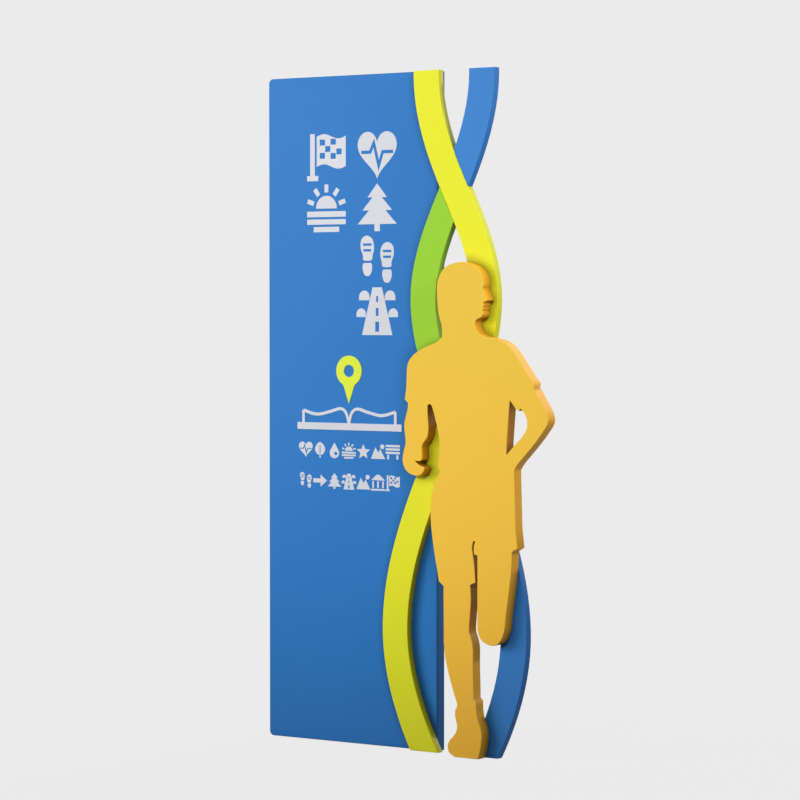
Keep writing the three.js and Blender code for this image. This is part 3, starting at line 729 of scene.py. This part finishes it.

# Ribbons: flat boxes of 2.5 mm steel, each a cut face with welded returns and a back plate set
# inside them. Yellow runs unbroken; blue, green and blue butt against it at the crossings.

# Each second colour is the deep tone: faint clouds, and painted shade on the returns.
yellow_enamel = baked_enamel("yellow_enamel", srgb(233, 233, 43), srgb(208, 210, 36))
ribbon_blue_enamel = baked_enamel("ribbon_blue_enamel", srgb(58, 129, 202), srgb(36, 112, 190))
green_enamel = baked_enamel("green_enamel", srgb(152, 206, 51), srgb(140, 196, 42))
enamels = {
    "yellow": (yellow_enamel, "ribbon_yellow_paint"),
    "blue_upper": (ribbon_blue_enamel, "ribbon_blue_paint"),
    "green": (green_enamel, "ribbon_green_paint"),
    "blue_lower": (ribbon_blue_enamel, "ribbon_blue_paint"),
}
edge_radius = 0.002
ribbon_painted_shade_reach = 0.8 * painted_shade_reach
runner_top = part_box("runner_face")[1].z
for name, (enamel, slot) in enamels.items():
    node = f"ribbon_{name}_face"
    low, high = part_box(node)
    ribbon = copy_of(node, f"ribbon_{name}_tray")
    round_edges(edge_radius, lambda middle, e: middle.y < low.y + hairline)
    # Painted shade: each ribbon's front behind the figure and its returns near the other ribbons and the
    # panel are darkened by noted occlusion.
    painted_shade_corner = (high.x, high.y, min(high.z, runner_top + painted_shade_reach))
    sliced_front(ribbon, low, painted_shade_corner, painted_shade_pitch)
    note_occlusion(ribbon, ["runner_face"], ribbon_trays, ["panel_face"], ribbon_painted_shade_reach)
    finish(ribbon, f"ribbon_{name}_tray", enamel, [node], crease=30)
    dress(enamel, f"ribbon_{name}_back")

# Runner: a deep tray of the same sheet in amber enamel, cut to the outline of a running
# person, with a back plate inside its returns.

# The second colour is the deep tone: faint clouds, and painted shade on the returns.
amber_enamel = baked_enamel("amber_enamel", srgb(234, 196, 66), srgb(248, 181, 50),
                            foot=srgb(254, 196, 66))
runner_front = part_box("runner_face")[0].y
runner = copy_of("runner_face", "runner_tray")
round_edges(edge_radius, lambda middle, e: middle.y < runner_front + hairline)
# Painted shade: the figure's returns darken in its narrow gaps and where they meet the ribbons behind.
note_occlusion(runner, [], ["runner_face"], ribbon_trays, painted_shade_reach)
finish(runner, "runner_tray", amber_enamel, ["runner_face"], crease=30)
dress(amber_enamel, "runner_back")

# Rivets: domed, set from behind along the rims of every back plate that stands free of the
# panel, and through the arms of the crossed plates.


def spans_at(node, z):
    """The stretches of X that a node's rear face covers at a height, from left to right."""
    mesh = nodes[node].data
    rear = max(v.co.y for v in mesh.vertices) - hairline
    runs = []
    for polygon in mesh.polygons:
        corners = [mesh.vertices[i].co for i in polygon.vertices]
        if min(c.y for c in corners) < rear:
            continue
        hits = []
        for a, b in zip(corners, corners[1:] + corners[:1]):
            if (a.z - z) * (b.z - z) < 0:
                hits.append(a.x + (b.x - a.x) * (z - a.z) / (b.z - a.z))
        if hits:
            runs.append((min(hits), max(hits)))
    spans = []
    for low, high in sorted(runs):
        if spans and low < spans[-1][1] + 2 * hairline:
            spans[-1][1] = max(spans[-1][1], high)
        else:
            spans.append([low, high])
    return spans


def rivet_at(radius, height):
    """A domed rivet head that faces +Y at the origin."""
    bpy.ops.object.select_all(action="DESELECT")
    bpy.ops.mesh.primitive_uv_sphere_add(segments=20, ring_count=12, radius=radius,
                                         location=(0, 0, 0), scale=(1, height / radius, 1))
    bpy.ops.object.transform_apply(location=True, rotation=True, scale=True)
    bpy.ops.object.mode_set(mode="EDIT")
    bpy.ops.mesh.select_all(action="SELECT")
    bpy.ops.mesh.bisect(plane_co=(0, 0, 0), plane_no=(0, 1, 0), use_fill=True, clear_inner=True)
    bpy.ops.object.mode_set(mode="OBJECT")
    return bpy.context.object


rivet = rivet_at(radius=0.004, height=0.0018)
rivet_inset = 0.009
rivet_pitch = 0.12
panel_clearance = 0.012
clear_x = panel_high.x + panel_clearance
for name, (enamel, slot) in [*enamels.items(), ("runner", (amber_enamel, "runner_paint"))]:
    node = "runner_back" if name == "runner" else f"ribbon_{name}_back"
    low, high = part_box(node)
    levels = int((high.z - low.z - 2 * rivet_inset) / rivet_pitch)
    spots = []
    for step in range(levels + 1):
        z = low.z + rivet_inset + step * (high.z - low.z - 2 * rivet_inset) / max(levels, 1)
        for from_x, to_x in spans_at(node, z):
            if to_x - from_x > 3 * rivet_inset:
                spots += [(x, z) for x in (from_x + rivet_inset, to_x - rivet_inset)]
    shown = [(x, z) for x, z in spots if name == "runner" or x > clear_x]
    heads = [copied(rivet, "rivet", (x, high.y, z)) for x, z in shown]
    finish(joined(heads, f"rivets_{name}"), f"rivets_{name}", enamel, crease=40)

side_inset = 0.034
end_inset = 0.028
heads = []
for level in ("upper", "lower"):
    low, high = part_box(f"crossing_plate_{level}")
    centre = (low + high) / 2
    reach = Vector(((high.x - low.x) / 2 - side_inset, 0, (high.z - low.z) / 2 - end_inset))
    heads += [copied(rivet, "rivet", (centre.x + way * reach.x, high.y, centre.z + rise * reach.z))
              for way in (-1, 1) for rise in (-1, 1)]
finish(joined(heads, "rivets_cross"), "rivets_cross", stainless, crease=40)
bpy.data.objects.remove(rivet)

# Through bolts: flanged hexagon heads behind the outriggers and nuts inside the figure. Where
# no ribbon lies between, a turned sleeve spaces the figure off the outrigger. The clinch studs
# that hold the ribbons to the panel keep the frame's own solids.

shank_radius = 0.005
flange_radius = 0.0105
flange_thickness = 0.0015
hexagon_radius = 0.0088
head_height = 0.007
turned_edge = 0.0006


def bolt_along_y(node):
    """A bolt in a frame node's place: flanged head at the back, plain shank, nut at the front."""
    low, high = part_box(node)
    x = (low.x + high.x) / 2
    z = (low.z + high.z) / 2
    shank_end = high.y - 0.001
    flange_front = high.y - head_height
    hexagon_front = flange_front + flange_thickness
    nut_front = low.y + 0.0005
    nut_rear = low.y + 0.0065
    parts = []
    for radius, front, rear, sides in (
        (shank_radius, low.y, shank_end, 20),
        (flange_radius, flange_front, hexagon_front, 32),
        (hexagon_radius, hexagon_front, high.y, 6),
        (hexagon_radius, nut_front, nut_rear, 6),
    ):
        parts.append(lying_cylinder(radius, front, rear, sides, x, z))
        round_edges(turned_edge, lambda middle, e: not along(e, 1), segments=2)
    return joined(parts, node)


for name in ("chest_green", "chest_spine", "chest_shoulder", "hip_spine", "hip_blue"):
    finish(bolt_along_y(f"bolt_{name}"), f"through_bolt_{name}", stainless, [f"bolt_{name}"])
for name in ("sleeve_chest", "sleeve_hip"):
    sleeve = copy_of(name, f"{name}_turned")
    round_edges(turned_edge, lambda middle, e: not along(e, 1), segments=2)
    finish(sleeve, f"{name}_turned", stainless, [name])
dress(zinc, "stud_yellow_top", "stud_yellow_middle", "stud_yellow_crest", "stud_yellow_foot",
      "stud_green_upper", "stud_green_lower")

# Map pin and open book: pictograms cut from 2 mm acrylic sheet by laser, so with sharp edges,
# and bonded to the panel.


def matt_sheet(name, colour):
    made, place, shader = new_material(name)
    grain = noise(place, 900)
    cloud = noise(place, 6, detail=3)
    feed(shader, Base_Color=cloud.ramp(0.3, 0.7).between(colour, tuple(0.95 * c for c in colour)),
         Roughness=0.5 + 0.1 * grain, Normal=bumped(grain, 0.00003))
    return made


white_sheet = matt_sheet("white_sheet", srgb(212, 214, 221))
lime_sheet = matt_sheet("lime_sheet", srgb(222, 236, 30))


def arc(x, y, radius, start, end, steps=16):
    """Points on a round stretch, from one angle to another in degrees."""
    turns = [math.radians(start + (end - start) * i / steps) for i in range(steps + 1)]
    return [(x + radius * math.cos(t), y + radius * math.sin(t)) for t in turns]


def disc(x, y, radius):
    return arc(x, y, radius, 0, 360, steps=40)[:-1]


def smooth(points, steps=6):
    """A closed outline that swings smoothly through the points."""
    made = []
    count = len(points)
    for i in range(count):
        a, b, c, d = (Vector(points[(i + j) % count]) for j in (-1, 0, 1, 2))
        for step in range(steps):
            t = step / steps
            made.append(tuple(b + t * (c - a) / 2 + t * t * (a - 2.5 * b + 2 * c - d / 2)
                              + t ** 3 * (1.5 * (b - c) + (d - a) / 2)))
    return made


def stroke(points, width):
    """The outline of a line of even width that runs through the points."""
    runs = [(Vector(b) - Vector(a)).normalized() for a, b in zip(points, points[1:])]
    sides = [Vector((-run.y, run.x)) for run in runs]
    left, right = [], []
    for i, point in enumerate(points):
        before, after = sides[max(i - 1, 0)], sides[min(i, len(sides) - 1)]
        corner = width / 2 * (before + after) / (1 + before.dot(after))
        left.append(tuple(Vector(point) + corner))
        right.append(tuple(Vector(point) - corner))
    return left + right[::-1]


def cut_sheet(name, outlines, thickness, material, stands_for=()):
    """Closed outlines in X and Z, cut from sheet that lies on the panel's face."""
    curve = bpy.data.curves.new(name, "CURVE")
    curve.dimensions = "2D"
    curve.fill_mode = "BOTH"
    curve.extrude = thickness / 2
    for outline in outlines:
        spline = curve.splines.new("POLY")
        spline.points.add(len(outline) - 1)
        for point, (x, z) in zip(spline.points, outline):
            point.co = (x, z, 0, 1)
        spline.use_cyclic_u = True
    piece = bpy.data.objects.new(name, curve)
    bpy.context.scene.collection.objects.link(piece)
    alone(piece)
    bpy.ops.object.convert(target="MESH")
    piece = bpy.context.object
    bpy.ops.object.mode_set(mode="EDIT")
    bpy.ops.mesh.select_all(action="SELECT")
    bpy.ops.mesh.remove_doubles(threshold=0.00001)
    bpy.ops.mesh.normals_make_consistent(inside=False)
    bpy.ops.object.mode_set(mode="OBJECT")
    piece.rotation_euler = (math.pi / 2, 0, 0)
    piece.location = (0, panel_front - thickness / 2, 0)
    bpy.ops.object.transform_apply(location=True, rotation=True, scale=True)
    finish(piece, name, material, stands_for, crease=30)


pin_low, pin_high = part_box("pin_badge")
badge_depth = panel_front - pin_low.y
pin_x = (pin_low.x + pin_high.x) / 2
pin_radius = 0.055
pin_hole = 0.022
pin_z = pin_high.z - pin_radius
pin_tip = pin_low.z - pin_z
flank = [(0.0335, -0.0436), (0.0262, -0.0485), (0.0236, -0.0525), (0.02, -0.062),
         (0.0142, -0.078), (0.0062, -0.1)]
pin = arc(0, 0, pin_radius, -44, 224, steps=48)
pin += [(-x, z) for x, z in flank] + [(0, pin_tip)] + flank[::-1]
pin_outline = [(pin_x + x, pin_z + z) for x, z in pin]
cut_sheet("pin_badge_sheet", [pin_outline, disc(pin_x, pin_z, pin_hole)], badge_depth, lime_sheet,
          ["pin_badge"])

book = copy_of("book_badge", "book_badge_sheet")
finish(book, "book_badge_sheet", white_sheet, ["book_badge"], crease=30)

# Trail pictograms: two upright columns of large ones and two lines of small ones, cut from
# thin white sheet and stuck to the panel. Each is drawn in a square that reaches from -1 to 1.


def bar(x0, y0, x1, y1):
    return [(x0, y0), (x1, y0), (x1, y1), (x0, y1)]


def mirrored(outline):
    return [(-x, y) for x, y in reversed(outline)]


def moved(outline, x, y, size):
    return [(x + size * px, y + size * py) for px, py in outline]


def heart():
    turns = [math.radians(5 * i) for i in range(72)]
    lobes = [(math.sin(t) ** 3,
              (13 * math.cos(t) - 5 * math.cos(2 * t) - 2 * math.cos(3 * t) - math.cos(4 * t) + 2.5) / 14.5)
             for t in turns]
    beat = [(-0.82, 0.14), (-0.36, 0.14), (-0.17, 0.52), (0.08, -0.44), (0.28, 0.14), (0.82, 0.14)]
    return [lobes, stroke(beat, 0.14)]


def tree():
    right = [(0, 1), (0.5, 0.42), (0.24, 0.42), (0.76, -0.12), (0.42, -0.12), (1, -0.7),
             (0.14, -0.7), (0.14, -1)]
    return [right + mirrored(right[1:])]


def footprints():
    sole = smooth([(-0.04, 1), (0.3, 0.84), (0.42, 0.42), (0.33, 0.02), (0.26, -0.2), (-0.2, -0.2),
                   (-0.25, 0.04), (-0.38, 0.4), (-0.34, 0.8)])
    heel = smooth([(-0.22, -0.36), (0.02, -0.34), (0.26, -0.36), (0.3, -0.62), (0.2, -0.9), (0.02, -0.98),
                   (-0.16, -0.9), (-0.26, -0.62)])
    foot = [sole, bar(-0.24, 0.5, 0.27, 0.62), bar(-0.22, 0.22, 0.25, 0.34), heel]
    left = [moved(outline, -0.52, 0.14, 0.86) for outline in foot]
    right = [moved(mirrored(outline), 0.52, -0.14, 0.86) for outline in foot]
    return left + right


def road():
    lane = [(-0.78, -1), (0.78, -1), (0.24, 1), (-0.24, 1)]
    dashes = [bar(-0.1, -0.86, 0.1, -0.44), bar(-0.07, -0.2, 0.07, 0.14), bar(-0.05, 0.38, 0.05, 0.64)]
    bush = arc(0, 0, 0.27, 0, 180, steps=12) + [(-0.27, -0.14), (0.27, -0.14)]
    sides = [moved(bush, way * x, y, size) for way in (-1, 1)
             for x, y, size in ((0.82, -0.12, 0.9), (0.66, 0.6, 1))]
    return [lane, *dashes, *sides]


def flag():
    pole = [(-1, -1), (-0.42, -1), (-0.42, -0.78), (-0.6, -0.78), (-0.6, 1), (-0.84, 1),
            (-0.84, -0.78), (-1, -0.78)]
    wave = [(-0.5 + 0.1 * i, 0.1 * math.sin(0.42 * i)) for i in range(16)]
    cloth = [(x, y + 0.88) for x, y in wave] + [(x, y - 0.4) for x, y in reversed(wave)]
    squares = [bar(x, y, x + 0.27, y + 0.25) for x, y in
               ((-0.34, 0.5), (0.22, 0.52), (-0.06, 0.22), (0.52, 0.1), (-0.34, -0.06), (0.22, -0.08))]
    return [cloth, pole, *squares]


def sunrise():
    rays = []
    for angle in range(18, 163, 36):
        turn = math.radians(angle)
        out = Vector((math.cos(turn), math.sin(turn)))
        rays.append(stroke([tuple(0.68 * out), tuple(1.02 * out)], 0.2))
    sun = arc(0, 0, 0.54, 0, 180, steps=24)
    return [sun, *rays, bar(-1, -0.36, 1, -0.12), bar(-1, -0.68, 1, -0.46), bar(-0.66, -1, 0.66, -0.78)]


def leaf():
    blade = smooth([(0, 1), (0.52, 0.62), (0.74, 0.06), (0.46, -0.46), (0, -0.66), (-0.46, -0.46),
                    (-0.74, 0.06), (-0.52, 0.62)])
    return [blade, stroke([(0, -0.5), (0, 0.62)], 0.12), bar(-0.09, -1, 0.09, -0.72)]


def drop():
    return [[(0, 1), *arc(0, -0.32, 0.68, 32, -212, steps=32)], disc(0.2, -0.4, 0.22)]


def pavilion():
    roof = [(-1, 0.3), (1, 0.3), (0.2, 1), (-0.2, 1)]
    posts = [bar(x - 0.12, -0.66, x + 0.12, 0.18) for x in (-0.7, 0, 0.7)]
    return [roof, *posts, bar(-1, -1, 1, -0.78)]


def bench():
    rails = [bar(-1, 0.62, 1, 0.9), bar(-1, 0.2, 1, 0.48), bar(-1, -0.24, 1, 0.04)]
    return rails + [bar(-0.8, -0.9, -0.52, -0.36), bar(0.52, -0.9, 0.8, -0.36)]


def arrow():
    return [[(-1, -0.26), (0.06, -0.26), (0.06, -0.78), (1, 0), (0.06, 0.78), (0.06, 0.26), (-1, 0.26)]]


def star():
    reach = [1, 0.46] * 5
    return [[(r * math.sin(math.radians(36 * i)), r * math.cos(math.radians(36 * i)) - 0.08)
             for i, r in enumerate(reach)]]


def hills():
    return [[(-1, -0.9), (-0.38, 0.56), (0.02, -0.1), (0.32, 0.34), (1, -0.9)], disc(0.6, 0.64, 0.3)]


sheet_thickness = 0.0004


def pictograms(name, low, high, columns, drawings):
    """Pictograms in even rows between two corners of the panel's face. A corner is its distance
    from the panel's middle line and its height, in metres."""
    rows = len(drawings) // columns
    width = (high[0] - low[0]) / columns
    height = (high[1] - low[1]) / rows
    half_width = 0.48 * width
    half_height = 0.46 * height
    outlines = []
    for i, drawing in enumerate(drawings):
        middle_x = panel_middle.x + low[0] + (i % columns + 0.5) * width
        middle_z = high[1] - (i // columns + 0.5) * height
        outlines += [[(middle_x + half_width * x, middle_z + half_height * y) for x, y in outline]
                     for outline in drawing()]
    cut_sheet(name, outlines, sheet_thickness, white_sheet)


pictograms("pictograms_right", (0.023, 1.463), (0.197, 2.203), 1, [heart, tree, footprints, road])
pictograms("pictograms_left", (-0.198, 1.833), (-0.022, 2.202), 1, [flag, sunrise])
pictograms("pictograms_line_1", (-0.233, 1.023), (0.208, 1.085), 7,
           [heart, leaf, drop, sunrise, star, hills, bench])
pictograms("pictograms_line_2", (-0.233, 0.912), (0.208, 0.974), 7,
           [footprints, arrow, tree, road, hills, pavilion, flag])
